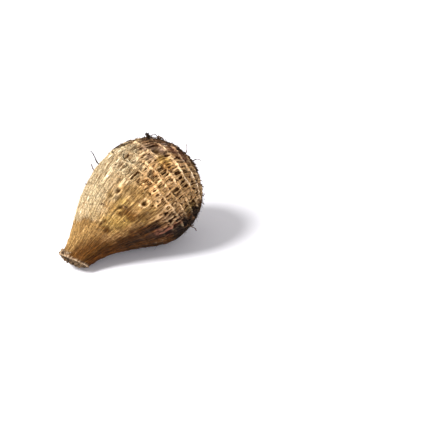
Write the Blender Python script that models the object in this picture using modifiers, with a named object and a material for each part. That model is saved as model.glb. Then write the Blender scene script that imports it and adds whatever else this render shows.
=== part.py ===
"""Whole taro corm lying on its side, as one solid. Metres, +Z up, narrow end towards -X.

The skin is a turned pear, bent along the corm's midline and then raised into its ring scars, ribs, root scars
and crusted end. Wiry rootlets are sunk into it and joined to it.

A place on the skin is a station and an angle. The station is 0 at the scar where the corm broke from its
mother plant, 1 at the widest ring and 2 at the crown. The angle turns about the midline: 0 is the far side,
90 the top, 180 the near side and 270 the underside.
"""

import math
import random

import bmesh
import bpy
from mathutils import Matrix, Vector

NODE = "taro_corm"

# Main sizes
BELLY_RADIUS = 0.043
SCAR_RADIUS = 0.0112
CONE_LENGTH = 0.080
BELLY_CENTRE = Vector((0.01728, -0.00143, 0.0415))

# The line from the scar's middle to the belly's middle, and how the midline heads at scar, belly and crown
LINE_TILT = 25.0
AZIMUTHS = (13.6, -4.0, -16.0)
TILTS = (46.0, 27.0, 0.0)
SIDE_BOW = 0.0020

# How full the neck is: 0 for a slim neck with a late swell, 1 for one that swells at once
NECK_FULLNESS = 0.30
# Under 1 gives the crown broader shoulders than a ball
CROWN_SHOULDER = 0.90

# Stations of the ring scars, which stand further apart beyond the belly, and the relief between them.
# A ring's breadth is a share of its band, and the rings are lower on the neck
RINGS = (0.07, 0.17, 0.27, 0.36, 0.46, 0.56, 0.66, 0.765, 0.87)
RINGS += (0.985, 1.085, 1.21, 1.36, 1.50, 1.63, 1.75, 1.85, 1.93)
RING_HEIGHT = 0.0011
RING_BREADTH = 0.45
RING_WOBBLE = 0.012
NECK_RING_STRENGTH = 0.6
ROWS_PER_RING = (0.0, 0.30, 0.65)
COLUMNS = 72
RIB_DEPTH = 0.0008
LUMP_SHARE = 0.014

# Root scars as station, angle, radius and depth. The first two are the largest on the near side
ROOT_SCARS = (
    (0.800, 146.5, 0.0036, 0.0020),
    (0.745, 114.5, 0.0034, 0.0022),
    (0.915, 154.5, 0.0026, 0.0014),
    (0.632, 129.5, 0.0026, 0.0012),
    (1.265, 127.0, 0.0060, 0.0011),
    (1.270, 108.5, 0.0034, 0.0012),
    (1.060, 62.0, 0.0040, 0.0020),
    (0.760, 15.0, 0.0036, 0.0020),
    (1.290, -12.0, 0.0042, 0.0018),
    (0.690, 212.0, 0.0036, 0.0018),
    (1.400, 190.0, 0.0040, 0.0018),
)
SCAR_RIM_SHARE = 0.35

# Crown bud, and the crust at the narrow end, which reaches this far up the neck
BUD_STATIONS = 0.10
BUD_HEIGHT = 0.0022
CRUST_HEIGHT = 0.0011
FACE_BULGE = 0.0022
FACE_SHARES = (0.0, 0.45, 0.80)
CRUST_STATIONS = (0.0, 0.03)
CRUST_REACH = 0.15

# Relief fades out this far above the ground, so that the corm rests on a smooth flat spot
GROUND_FADE = 0.004

# Rootlets: thickness and sunk length, and the seeded rule for loose ones, which reach back from the crown
# over this share of the rings
ROOT_THICK = 0.0012
ROOT_THIN = 0.0007
ROOT_SUNK = 0.0030
ROOT_STEPS = 6
ROOT_CLEARANCE = 0.0025
LOOSE_ROOTS = 28
LOOSE_REACH = 0.72
LOOSE_ANGLES = (-60.0, 240.0)
LOOSE_LENGTHS = (0.003, 0.0065)
LOOSE_TURNS = (50.0, 160.0)
SEED = 41

# Rootlets with a place of their own: station, angle, length, degrees that they turn, and the way they turn
PLACED_ROOTS = (
    (1.40, 84.0, 0.011, 150.0, 10.0),
    (1.36, 78.0, 0.009, 165.0, 20.0),
    (1.34, 73.0, 0.006, 120.0, 350.0),
    (1.42, 79.0, 0.006, 190.0, 100.0),
    (0.86, 50.0, 0.016, 70.0, 190.0),
    (0.80, 46.0, 0.009, 100.0, 170.0),
    (1.70, 118.0, 0.012, 110.0, 300.0),
    (1.64, 104.0, 0.008, 80.0, 60.0),
    (1.12, 214.0, 0.009, 90.0, 330.0),
)

WELD_DISTANCE = 0.00002
SHARP_ANGLE = math.radians(50.0)


def clear_scene():
    for old in list(bpy.data.objects):
        bpy.data.objects.remove(old, do_unlink=True)


def collection_named(name):
    made = bpy.data.collections.new(name)
    bpy.context.scene.collection.children.link(made)
    return made


def corm_skin_material():
    material = bpy.data.materials.new("dry_corm_skin")
    material.use_nodes = True
    shader = material.node_tree.nodes["Principled BSDF"]
    shader.inputs["Base Color"].default_value = (0.36, 0.21, 0.10, 1.0)
    shader.inputs["Roughness"].default_value = 0.85
    shader.inputs["Metallic"].default_value = 0.0
    return material


def smooth(share):
    share = min(max(share, 0.0), 1.0)
    return share * share * (3.0 - 2.0 * share)


def heading(azimuth, tilt):
    """Unit vector turned azimuth degrees from +X towards +Y, and tilt degrees up."""
    turn, rise = math.radians(azimuth), math.radians(tilt)
    return Vector((math.cos(turn) * math.cos(rise), math.sin(turn) * math.cos(rise), math.sin(rise)))


def between(ends, share):
    return ends[0] + (ends[1] - ends[0]) * share


def section(station):
    """Centre, heading, radius and outward slope of the smooth corm at a station."""
    if station <= 1.0:
        swell = math.sin(math.pi / 2 * station)
        fullness = NECK_FULLNESS * swell + (1.0 - NECK_FULLNESS) * swell * swell
        radius = SCAR_RADIUS + (BELLY_RADIUS - SCAR_RADIUS) * fullness
        share = smooth(station)
        axis = heading(between(AZIMUTHS[:2], share), between(TILTS[:2], share))
        line = heading(0.0, LINE_TILT)
        sideways = Vector((0.0, 0.0, 1.0)).cross(line).normalized()
        centre = BELLY_CENTRE - line * CONE_LENGTH * (1.0 - station)
        centre += sideways * SIDE_BOW * math.sin(math.pi * station)
        return centre, axis, radius, 0.0
    opening = (2.0 - station) * math.pi / 2
    axis = heading(between(AZIMUTHS[1:], station - 1.0), between(TILTS[1:], station - 1.0))
    radius = BELLY_RADIUS * math.sin(opening) ** CROWN_SHOULDER
    centre = BELLY_CENTRE + axis * BELLY_RADIUS * math.cos(opening)
    return centre, axis, radius, math.cos(opening)


def sides_of(axis):
    sideways = Vector((0.0, 0.0, 1.0)).cross(axis).normalized()
    return sideways, axis.cross(sideways)


def skin_point(station, angle, lift=0.0, share=1.0):
    """Point of the skin raised by lift, and its outward direction. A share under 1 lies on the scar's face."""
    centre, axis, radius, slope = section(station)
    sideways, upwards = sides_of(axis)
    spoke = sideways * math.cos(angle) + upwards * math.sin(angle)
    out = (spoke * math.sqrt(1.0 - slope * slope) + axis * slope) if share == 1.0 else -axis
    return centre + spoke * radius * share + out * lift, out


def lumps(station, angle):
    """Slow unevenness of the whole body, as a share of its radius."""
    slow = math.cos(2.0 * angle + 1.3 + 1.1 * station) + 0.7 * math.cos(3.0 * angle - 2.4 * station)
    return LUMP_SHARE * slow * math.sin(math.pi * min(station, 2.0) / 2.0)


def ring_wobble(station, angle):
    """How far a ring runs ahead of its station at this angle."""
    wave = math.sin(2.0 * angle + 0.8) + 0.6 * math.sin(5.0 * angle + 3.0 * station)
    return RING_WOBBLE * wave * smooth(station / 0.3) * smooth((2.0 - station) / 0.5)


def ring_relief(station, angle):
    """Raised leaf scars, and the ribs and pits that fill each band between two of them."""
    below = [ring for ring in RINGS if ring <= station + 1e-6]
    if not below:
        return 0.0
    band = len(below)
    upper = (RINGS + (2.0,))[band]
    share = max(station - below[-1], 0.0) / (upper - below[-1])
    strength = between((NECK_RING_STRENGTH, 1.0), smooth((station - 0.5) / 0.6))
    crest = RING_HEIGHT * max(0.0, 1.0 - share / RING_BREADTH)
    column = angle * COLUMNS / (2.0 * math.pi) + band
    rib = RIB_DEPTH * math.cos(math.pi * column) * math.sin(math.pi * share)
    rib *= section(station)[2] / BELLY_RADIUS
    fade = smooth(station / CRUST_REACH) * smooth((2.0 - station) / 0.2)
    return strength * fade * (crest + rib)


def scar_relief(point):
    """Sunk root scars with raised rims."""
    lift = 0.0
    for station, degrees, radius, depth in ROOT_SCARS:
        distance = (point - skin_point(station, math.radians(degrees))[0]).length / radius
        if distance < 1.0:
            lift -= depth * math.cos(math.pi / 2 * distance) ** 2
        elif distance < 2.0:
            lift += SCAR_RIM_SHARE * depth * math.sin(math.pi * (distance - 1.0))
    return lift


def crust_relief(station, angle, share):
    """Crusted rim round the scar and the bulging, lumpy face inside it."""
    knobs = math.sin(5.0 * angle + 1.0) + 0.6 * math.sin(11.0 * angle) + 0.4 * math.sin(17.0 * angle + 2.0)
    if share < 1.0:
        return FACE_BULGE * (1.0 - share * share) + 0.5 * CRUST_HEIGHT * knobs * share
    return CRUST_HEIGHT * (0.8 + 0.5 * knobs) * smooth(1.0 - station / CRUST_REACH)


def corm_point(station, angle, share=1.0):
    """Finished place of a point of the skin."""
    _, _, radius, _ = section(station)
    shifted = station + ring_wobble(station, angle)
    body_lift = radius * lumps(station, angle)
    smooth_point, _ = skin_point(shifted, angle, body_lift, share)
    relief = ring_relief(station, angle) if share == 1.0 else 0.0
    relief += scar_relief(smooth_point) + crust_relief(station, angle, share)
    relief += BUD_HEIGHT * smooth(1.0 - (2.0 - station) / BUD_STATIONS)
    fade = smooth(smooth_point.z / GROUND_FADE)
    point, _ = skin_point(shifted, angle, body_lift + relief * fade, share)
    return point


def row_stations():
    rows = list(CRUST_STATIONS)
    for lower, upper in zip(RINGS, RINGS[1:] + (2.0,)):
        rows += [between((lower, upper), share) for share in ROWS_PER_RING]
    return rows + [2.0]


def turned_blank(collection):
    """Straight pear, turned about Z. Its height is the station, and its face lies below zero."""
    profile = [(section(station)[2], station) for station in reversed(row_stations())]
    profile += [(SCAR_RADIUS * share, share - 1.0) for share in reversed(FACE_SHARES)]
    mesh = bpy.data.meshes.new("corm_profile")
    edges = [(row, row + 1) for row in range(len(profile) - 1)]
    mesh.from_pydata([(radius, 0.0, height) for radius, height in profile], edges, [])
    turned = bpy.data.objects.new("corm_profile", mesh)
    collection.objects.link(turned)
    screw = turned.modifiers.new("turn", "SCREW")
    screw.axis = "Z"
    screw.angle = 2.0 * math.pi
    screw.steps = COLUMNS
    screw.render_steps = COLUMNS
    screw.use_merge_vertices = True
    screw.merge_threshold = WELD_DISTANCE
    return as_mesh_object(turned, NODE, collection)


def as_mesh_object(source, name, collection):
    """The object's evaluated mesh in a new object, with loose caps welded. The source is removed."""
    bpy.context.view_layer.update()
    evaluated = source.evaluated_get(bpy.context.evaluated_depsgraph_get())
    mesh = bpy.data.meshes.new_from_object(evaluated)
    work = bmesh.new()
    work.from_mesh(mesh)
    bmesh.ops.remove_doubles(work, verts=work.verts, dist=WELD_DISTANCE)
    bmesh.ops.recalc_face_normals(work, faces=work.faces)
    work.to_mesh(mesh)
    work.free()
    made = bpy.data.objects.new(name, mesh)
    made.matrix_world = source.matrix_world.copy()
    collection.objects.link(made)
    bpy.data.objects.remove(source, do_unlink=True)
    return made


def bend_blank(corm):
    for vertex in corm.data.vertices:
        x, y, height = vertex.co
        angle = math.atan2(y, x)
        if height >= -1e-6:
            vertex.co = corm_point(max(height, 0.0), angle)
        else:
            vertex.co = corm_point(0.0, angle, height + 1.0)


def level_underside(corm):
    """Cuts the corm flat where it meets the ground."""
    work = bmesh.new()
    work.from_mesh(corm.data)
    everything = work.verts[:] + work.edges[:] + work.faces[:]
    ground = Vector((0.0, 0.0, 0.0))
    bmesh.ops.bisect_plane(
        work, geom=everything, dist=1e-6, plane_co=ground, plane_no=Vector((0.0, 0.0, 1.0)), clear_inner=True
    )
    bmesh.ops.holes_fill(work, edges=[edge for edge in work.edges if edge.is_boundary])
    bmesh.ops.recalc_face_normals(work, faces=work.faces)
    work.to_mesh(corm.data)
    work.free()


def root_path(station, degrees, length, turn, way):
    """Points of a rootlet that leaves the skin straight and then turns by turn degrees towards way."""
    start, out = skin_point(station, math.radians(degrees))
    sideways, upwards = sides_of(section(station)[1])
    along = sideways * math.cos(math.radians(way)) + upwards * math.sin(math.radians(way))
    hinge = out.cross(along + out * 0.3).normalized()
    points = [start - out * ROOT_SUNK, start]
    step = length / ROOT_STEPS
    for number in range(ROOT_STEPS):
        bend = math.radians(turn) * number / ROOT_STEPS
        rise = Matrix.Rotation(bend, 3, hinge) @ out
        lean = hinge * math.sin(number * 0.9) * 0.25
        points.append(points[-1] + (rise + lean).normalized() * step)
    return points


def rootlet(name, points, collection):
    curve = bpy.data.curves.new(name, "CURVE")
    curve.dimensions = "3D"
    curve.bevel_depth = ROOT_THICK / 2
    curve.bevel_resolution = 0
    curve.use_fill_caps = True
    spline = curve.splines.new("POLY")
    spline.points.add(len(points) - 1)
    for number, (knot, place) in enumerate(zip(spline.points, points)):
        knot.co = (*place, 1.0)
        knot.radius = between((1.0, ROOT_THIN / ROOT_THICK), number / (len(points) - 1))
    wire = bpy.data.objects.new(name + "_wire", curve)
    collection.objects.link(wire)
    return as_mesh_object(wire, name, collection)


def rootlet_paths():
    """The placed rootlets, then loose ones on the rings, thickest towards the crown."""
    draw = random.Random(SEED)
    paths = [root_path(*place) for place in PLACED_ROOTS]
    while len(paths) < len(PLACED_ROOTS) + LOOSE_ROOTS:
        station = RINGS[-1 - int(len(RINGS) * LOOSE_REACH * draw.random() ** 1.5)]
        length = between(LOOSE_LENGTHS, draw.random())
        turn = between(LOOSE_TURNS, draw.random())
        path = root_path(station, between(LOOSE_ANGLES, draw.random()), length, turn, draw.uniform(0.0, 360.0))
        if min(point.z for point in path[1:]) > ROOT_CLEARANCE:
            paths.append(path)
    return paths


def fuse(corm, rootlets):
    join = corm.modifiers.new("join_rootlets", "BOOLEAN")
    join.operation = "UNION"
    join.operand_type = "COLLECTION"
    join.collection = rootlets
    join.solver = "EXACT"
    bpy.context.view_layer.update()
    evaluated = corm.evaluated_get(bpy.context.evaluated_depsgraph_get())
    joined = bpy.data.meshes.new_from_object(evaluated)
    corm.modifiers.clear()
    corm.data = joined
    for piece in list(rootlets.objects):
        bpy.data.objects.remove(piece, do_unlink=True)
    bpy.data.collections.remove(rootlets)


def main():
    clear_scene()
    parts = collection_named("taro_root")
    rootlets = collection_named("rootlets_to_join")
    corm = turned_blank(parts)
    bend_blank(corm)
    level_underside(corm)
    for number, points in enumerate(rootlet_paths()):
        rootlet(f"rootlet_{number:02d}", points, rootlets)
    fuse(corm, rootlets)
    corm.data.materials.clear()
    corm.data.materials.append(corm_skin_material())
    corm.data.shade_smooth()
    corm.data.set_sharp_from_angle(angle=SHARP_ANGLE)


main()
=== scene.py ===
"""Looks of a whole taro corm that lies on its side, dressed round its CAD solid.

A place on the skin is a station and an angle, as in the CAD. The station is 0 at the scar of the narrow
end, 1 at the widest ring and 2 at the crown. The angle is 0 on the far side, 90 on top, 180 on the near
side and 270 underneath. Arrays of places are worked on all at once.
"""

import math
import random

import bpy
import numpy as np
from mathutils import Matrix, Vector


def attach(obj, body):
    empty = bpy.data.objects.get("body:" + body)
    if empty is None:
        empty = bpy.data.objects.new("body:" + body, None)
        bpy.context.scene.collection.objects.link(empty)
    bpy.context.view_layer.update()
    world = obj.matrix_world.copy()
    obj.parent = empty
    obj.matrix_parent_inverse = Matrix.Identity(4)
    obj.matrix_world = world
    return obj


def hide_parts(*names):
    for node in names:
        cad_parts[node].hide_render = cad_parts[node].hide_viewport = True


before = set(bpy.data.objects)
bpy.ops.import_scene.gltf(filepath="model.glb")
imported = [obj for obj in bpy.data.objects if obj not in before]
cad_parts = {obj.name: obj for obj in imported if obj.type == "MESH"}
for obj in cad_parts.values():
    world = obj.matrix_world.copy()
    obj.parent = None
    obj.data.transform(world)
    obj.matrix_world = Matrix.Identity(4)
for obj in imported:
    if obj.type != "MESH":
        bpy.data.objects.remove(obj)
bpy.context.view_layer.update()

NODE = "taro_corm"
BODY = "root"
TURN = 2.0 * math.pi

# The corm's form, as in the CAD, in metres and degrees
BELLY_RADIUS = 0.043
SCAR_RADIUS = 0.0112
CONE_LENGTH = 0.080
BELLY_CENTRE = np.array((0.01728, -0.00143, 0.0415))
LINE_TILT = 25.0
AZIMUTHS = (13.6, -4.0, -16.0)
TILTS = (46.0, 27.0, 0.0)
SIDE_BOW = 0.0020
NECK_FULLNESS = 0.30
CROWN_SHOULDER = 0.90
LUMP_SHARE = 0.014
RING_WOBBLE = 0.012
BUD_STATIONS = 0.10
BUD_HEIGHT = 0.0022
FACE_BULGE = 0.0028
GROUND_FADE = 0.004

RINGS = (0.07, 0.17, 0.27, 0.36, 0.46, 0.56, 0.66, 0.765, 0.87)
RINGS += (0.985, 1.085, 1.21, 1.36, 1.50, 1.63, 1.75, 1.85, 1.93)
RING_EDGES = np.array((-0.03,) + RINGS + (2.03,))

# Root scars as station, angle, radius and depth, and how much paler their rims are than the skin
ROOT_SCARS = (
    (0.800, 146.5, 0.0022, 0.0024, 0.7),
    (0.745, 114.5, 0.0023, 0.0020, 0.2),
    (0.915, 154.5, 0.0013, 0.0015, 0.3),
    (0.635, 129.8, 0.0018, 0.0014, 0.0),
    (1.270, 108.5, 0.0026, 0.0014, 0.0),
    (1.060, 62.0, 0.0020, 0.0020, 0.6),
    (0.760, 15.0, 0.0020, 0.0020, 0.8),
    (1.290, -12.0, 0.0024, 0.0020, 0.6),
    (0.690, 212.0, 0.0020, 0.0018, 0.1),
    (1.400, 190.0, 0.0018, 0.0018, 0.3),
    (0.980, -35.0, 0.0022, 0.0022, 0.8),
    (0.560, -20.0, 0.0016, 0.0016, 0.5),
    (1.120, 25.0, 0.0016, 0.0016, 0.5),
    (0.500, 70.0, 0.0010, 0.0008, 0.2),
    (0.880, 90.0, 0.0010, 0.0010, 0.2),
    (1.040, 171.0, 0.0013, 0.0012, 0.2),
)

# Blotches of the skin as station, angle, reach in stations and in degrees, and strength
BROWN_BLOTCHES = (
    (0.635, 140.0, 0.045, 7.0, 0.95),
    (0.630, 149.0, 0.040, 5.0, 0.95),
    (0.690, 156.5, 0.050, 4.0, 0.70),
    (0.745, 159.0, 0.030, 3.5, 0.60),
    (0.403, 135.5, 0.026, 5.5, 1.00),
    (0.410, 128.5, 0.018, 4.0, 1.00),
    (0.447, 121.0, 0.013, 2.6, 0.90),
    (0.468, 124.0, 0.013, 2.6, 0.90),
    (0.462, 148.5, 0.010, 2.0, 0.80),
    (1.126, 133.0, 0.014, 1.8, 0.90),
    (0.560, 158.0, 0.030, 4.0, 0.60),
    (0.860, 166.0, 0.025, 3.0, 0.60),
    (0.930, 96.0, 0.040, 4.0, 0.60),
    (0.045, 110.0, 0.016, 8.0, 0.95),
    (0.104, 119.0, 0.014, 5.0, 0.80),
    (0.109, 139.0, 0.020, 6.0, 0.80),
    (0.590, 134.5, 0.026, 5.5, 0.90),
)

# Patches paler or darker than their zone as station, angle, reach in stations and in degrees, and how
# bright they are beside it
SHADE_PATCHES = (
    (0.990, 131.0, 0.120, 13.0, 1.36),
    (0.690, 113.5, 0.060, 9.0, 0.62),
    (1.255, 92.0, 0.060, 8.0, 1.60),
)

# Patches of each zone as station, angle, reach in stations and in degrees, strength, raggedness and
# seed. A patch with no raggedness fades evenly.
ZONE_PATCHES = {
    "straw": ((0.74, 78.0, 0.52, 42.0, 1.0, 0.3, 53), (0.75, -35.0, 0.38, 36.0, 0.7, 0.35, 54)),
    "gold": ((0.52, 134.0, 0.20, 34.0, 1.0, 0.0, 55),),
    "bran": ((0.78, 140.0, 0.22, 34.0, 1.0, 0.0, 66), (0.685, 112.5, 0.055, 8.5, 1.0, 0.0, 83)),
    "amber": ((1.25, 124.0, 0.070, 8.5, 1.0, 0.2, 56),),
    "olive": ((1.22, 187.0, 0.09, 9.0, 1.0, 0.3, 57), (1.155, 128.5, 0.035, 2.6, 0.7, 0.2, 67)),
    "scorch": (
        (1.250, 107.5, 0.030, 3.6, 1.0, 0.3, 58),
        (1.235, 97.0, 0.012, 9.0, 0.6, 0.4, 59),
        (1.305, 108.8, 0.036, 3.2, 0.7, 0.4, 84),
    ),
    "russet": ((1.50, 117.0, 0.09, 14.0, 1.0, 0.5, 60),),
    "mauve": ((1.175, 110.5, 0.045, 5.5, 1.0, 0.5, 64),),
    "mat": ((1.33, 91.0, 0.085, 9.0, 1.0, 0.5, 68),),
    "ashen": ((1.42, 98.0, 0.035, 4.0, 1.0, 0.5, 69),),
    "rust": ((0.86, 188.0, 0.16, 16.0, 1.0, 0.4, 70),),
    # Near-black patches of painted shadow, underneath and low on the near side
    "painted_shadow": (
        (1.16, 214.0, 0.29, 21.5, 1.0, 0.3, 65),
        (1.32, 208.0, 0.12, 12.0, 0.9, 0.3, 74),
        (0.65, 188.0, 0.06, 9.0, 0.55, 0.4, 75),
    ),
    "shaded": ((1.20, 92.0, 0.20, 15.0, 0.1, 0.6, 76), (1.48, 102.0, 0.20, 26.0, 0.9, 0.6, 77)),
    "honey": ((1.225, 132.5, 0.045, 5.0, 1.0, 0.4, 79),),
}

# Where the skin is ribbed less, in the same way as the zones
STRAW_FLANKS = ((0.68, 72.0, 0.43, 34.0, 1.0, 0.3, 11), (0.72, -60.0, 0.40, 40.0, 0.8, 0.3, 12))
CALM_SPOTS = ((1.250, 124.5, 0.065, 7.0, 1.0, 0.2, 13), (1.225, 132.0, 0.040, 4.5, 0.75, 0.2, 22))
EASED_SPOTS = ((0.97, 131.0, 0.12, 15.0, 0.5, 0.0, 19),)

# Rings that stand out near the crown as station, middle angle, reach in stations and in degrees,
# strength and seed. The first is the boldest, with a dark band on both sides.
BOLD_RINGS = ((1.50, 158.0, 0.30, 34.0, 1.0, 49), (1.36, 158.0, 0.20, 20.0, 0.75, 20))

# A crease across the fibres of the near side, as stations and angles along it
CREASE = (
    (0.521, 115.5),
    (0.546, 121.5),
    (0.581, 126.8),
    (0.610, 129.3),
    (0.650, 130.2),
    (0.690, 131.2),
    (0.764, 132.8),
)

# Where the near side is grooved beside the dark underside: its middle, its reach and its seed
GROOVED = ((0.87, 191.0), (0.22, 22.0), 17)

# Open knobs on the torn part of the scar's rim, as station, angle and radius
RIM_KNOBS = (
    (0.012, 46.0, 0.0013),
    (0.040, 57.0, 0.0012),
    (0.008, 66.0, 0.0013),
    (0.050, 76.0, 0.0011),
    (0.012, 84.0, 0.0011),
    (0.048, 96.0, 0.0009),
    (0.012, 104.0, 0.0009),
    (0.020, 30.0, 0.0011),
)

# Where the brown neck ends, as degrees round the corm and stations
NECK_EDGE_DEGREES = (20.0, 64.0, 81.0, 95.0, 109.0, 116.0, 123.0, 137.0)
NECK_EDGE_STATIONS = (0.375, 0.350, 0.384, 0.415, 0.424, 0.434, 0.446, 0.440)

# The angle at which the dark underside begins on the near side, at these stations. Its dark is partly the
# skin's own soil-stained colour and partly painted shade.
PLUM_STATIONS = (0.0, 0.30, 0.50, 0.65, 0.75, 0.80, 0.86, 0.94, 1.00, 1.06, 1.15, 1.35, 1.60)
PLUM_DEGREES = (150.0, 156.0, 152.0, 154.0, 167.0, 176.0, 182.0, 184.0, 175.0, 175.0, 182.0, 187.0, 184.0)

# Fine relief, in metres
RING_HEIGHT = 0.0012
RING_HALF_WIDTH = 0.0009
RIB_HEIGHT = 0.0005
PIT_DEPTH = 0.0020
PIT_PITCH = 0.0040
FIBRE_HEIGHT = 0.00034
WART_HEIGHT = 0.00030
RIM_HEIGHT = 0.0007
CRUST_HEIGHT = 0.0012
KNOB_HEIGHT = 0.0009
SLOW_HEIGHT = 0.0005
CREASE_DEPTH = 0.0007
CREASE_HALF_WIDTH = 0.0007
CREASE_WANDER = 0.0004
GROOVE_DEPTH = 0.0009
CRUMB_HEIGHT = 0.0011

# Metres over the skin in one station, before the belly and beyond it
NECK_STATION = 0.086
CROWN_STATION = 0.0675

# How far strands and hairs stay above the surface that the corm rests on
FLOOR_GAP = 0.00005
HAIR_CLEARANCE = 0.001

# The fine skin's mesh, whose rows stand closer on the rings
COLUMNS = 560
ROWS = 164
FACE_ROWS = 14
FINE_STATIONS = 4001

# Seeds of the blotches and shade patches, in the order of their tables
BLOTCH_SEED = 100
SHADE_SEED = 80

# How many strands there are of each kind, and their seeds
FLANK_FIBRES = 1600
FIBRES_ON_A_RIB = 3
RING_BUNDLES = 620
RING_FRINGE = 2400
ROOT_HAIRS = 1500
WISPS_IN_A_BUNDLE = 5
FLANK_SEED = 81
RIB_SEED = 82
BUNDLE_SEED = 83
FRINGE_SEED = 84
ROOTLET_SEED = 85
HAIR_SEED = 86
WISP_SEED = 87
CLUMP_SEED = 88

# Where strands may lie, in stations and degrees, and which rings the ribs and the fringe begin at
STRAND_STATIONS = (0.005, 1.985)
ALL_ROUND = (-90.0, 270.0)
FIRST_RIBBED_BAND = 8
FIRST_FRINGED_RING = 3

# Dark wiry strands that lie on the skin, as the station and angle of both ends
WISPS = (
    (1.02, 56.0, 1.10, 65.0),
    (1.06, 69.5, 1.13, 72.5),
    (1.12, 72.0, 1.20, 77.0),
    (1.08, 63.0, 1.18, 67.5),
    (1.17, 67.0, 1.25, 79.0),
    (1.24, 77.0, 1.34, 83.0),
    (1.46, 86.0, 1.55, 97.0),
    (1.52, 93.0, 1.60, 106.0),
    (1.60, 102.0, 1.70, 114.0),
)

# Tangled clumps of rootlets as station, angle, how far their ends spread, their height, how many there
# are, how thick and how pale
CLUMPS = (
    (1.345, 76.0, 0.055, 0.0034, 5, 1.8, 0.0),
    (1.400, 82.0, 0.050, 0.0034, 4, 1.8, 0.0),
    (1.345, 78.0, 0.050, 0.0026, 10, 1.0, 0.0),
    (1.300, 86.0, 0.060, 0.0010, 14, 1.0, 0.0),
    (1.400, 86.0, 0.045, 0.0022, 8, 1.0, 0.0),
    (1.430, 97.0, 0.050, 0.0010, 8, 1.0, 0.0),
    (1.560, 98.0, 0.060, 0.0014, 10, 1.2, 0.0),
    (1.660, 112.0, 0.060, 0.0014, 10, 1.2, 0.0),
    (1.740, 126.0, 0.060, 0.0020, 8, 1.2, 0.0),
    (1.180, 205.0, 0.060, 0.0014, 8, 1.3, 0.0),
    (1.060, 208.0, 0.050, 0.0014, 5, 1.3, 0.0),
    (0.015, 44.0, 0.030, 0.0016, 5, 1.7, 0.9),
    (0.035, 58.0, 0.030, 0.0018, 5, 1.8, 0.9),
    (0.010, 72.0, 0.030, 0.0016, 5, 1.7, 0.9),
    (0.030, 86.0, 0.025, 0.0012, 4, 1.5, 0.8),
    (0.020, 62.0, 0.050, 0.0012, 8, 1.2, 0.0),
    (1.500, 20.0, 0.060, 0.0014, 8, 1.0, 0.0),
    (1.360, -30.0, 0.060, 0.0014, 6, 1.0, 0.0),
)

# The rootlets, as in the CAD. The placed ones are station, angle, length, turn and way.
ROOT_THICK = 0.0012
ROOT_SUNK = 0.0030
ROOT_STEPS = 6
ROOTLET_KNOTS = 22
ROOT_CLEARANCE = 0.0025
LOOSE_ROOTS = 28
LOOSE_REACH = 0.72
LOOSE_ANGLES = (-60.0, 240.0)
LOOSE_LENGTHS = (0.003, 0.0065)
LOOSE_TURNS = (50.0, 160.0)
SEED = 41
PLACED_ROOTS = (
    (1.40, 84.0, 0.011, 150.0, 10.0),
    (1.36, 78.0, 0.009, 165.0, 20.0),
    (1.34, 73.0, 0.006, 120.0, 350.0),
    (1.42, 79.0, 0.006, 190.0, 100.0),
    (0.86, 50.0, 0.016, 70.0, 190.0),
    (0.80, 46.0, 0.009, 100.0, 170.0),
    (1.70, 118.0, 0.012, 110.0, 300.0),
    (1.64, 104.0, 0.008, 80.0, 60.0),
    (1.12, 214.0, 0.009, 90.0, 330.0),
)

# The photograph's view: where the belly's middle shows in its 447 by 447 frame, and how large, in metres
# and degrees, with the lens and its sensor in millimetres
PHOTO_SIDE = 447.0
BELLY_AT = (146.2, 194.2)
METRES_PER_PIXEL = 0.00080
CAMERA_AZIMUTH = -42.0
CAMERA_ELEVATION = 28.0
LENS = 85.0
SENSOR = 36.0

# The studio: its lights as name, direction, distance, size, power and colour, its surround and floor
STUDIO_LIGHTS = (
    ("key", (-0.66, 0.16, 0.74), 2.4, 0.9, 82.0, (1.0, 0.985, 0.95)),
    ("fill", (-0.30, -0.90, 0.55), 2.6, 1.8, 7.0, (1.0, 1.0, 1.0)),
)
WORLD_COLOUR = (1.0, 0.975, 0.93, 1.0)
WORLD_STRENGTH = 0.50
FLOOR_REACH = 6.0
FLOOR_COLOUR = (0.90, 0.90, 0.97)
FLOOR_GLOW = (0.88, 0.88, 1.0)
FLOOR_GLOW_STRENGTH = 0.10


def smooth(share):
    share = np.clip(share, 0.0, 1.0)
    return share * share * (3.0 - 2.0 * share)


def between(low, high, share):
    return low + (high - low) * share


def unit(vectors):
    return vectors / np.linalg.norm(vectors, axis=-1, keepdims=True)


def heading(azimuth, tilt):
    """Unit vectors turned azimuth degrees from +X towards +Y, and tilt degrees up."""
    turn, rise = np.radians(azimuth), np.radians(tilt)
    return np.stack([np.cos(turn) * np.cos(rise), np.sin(turn) * np.cos(rise), np.sin(rise)], -1)


def section(station):
    """Centre, heading, radius and outward slope of the smooth corm at each station."""
    station = np.asarray(station, float)
    swell = np.sin(math.pi / 2 * np.minimum(station, 1.0))
    filled = NECK_FULLNESS * swell + (1.0 - NECK_FULLNESS) * swell**2
    neck_radius = between(SCAR_RADIUS, BELLY_RADIUS, filled)
    share = smooth(station)
    neck_axis = heading(between(*AZIMUTHS[:2], share), between(*TILTS[:2], share))
    line = heading(0.0, LINE_TILT)
    sideways = unit(np.cross((0.0, 0.0, 1.0), line))
    neck_centre = BELLY_CENTRE - line * (CONE_LENGTH * (1.0 - station))[..., None]
    bow = SIDE_BOW * np.sin(math.pi * np.minimum(station, 1.0))
    neck_centre = neck_centre + sideways * bow[..., None]
    opening = (2.0 - station) * math.pi / 2
    crown_axis = heading(between(*AZIMUTHS[1:], station - 1.0), between(*TILTS[1:], station - 1.0))
    crown_radius = BELLY_RADIUS * np.abs(np.sin(opening)) ** CROWN_SHOULDER
    crown_centre = BELLY_CENTRE + crown_axis * (BELLY_RADIUS * np.cos(opening))[..., None]
    neck = station <= 1.0
    return (
        np.where(neck[..., None], neck_centre, crown_centre),
        np.where(neck[..., None], neck_axis, crown_axis),
        np.where(neck, neck_radius, crown_radius),
        np.where(neck, 0.0, np.cos(opening)),
    )


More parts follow.
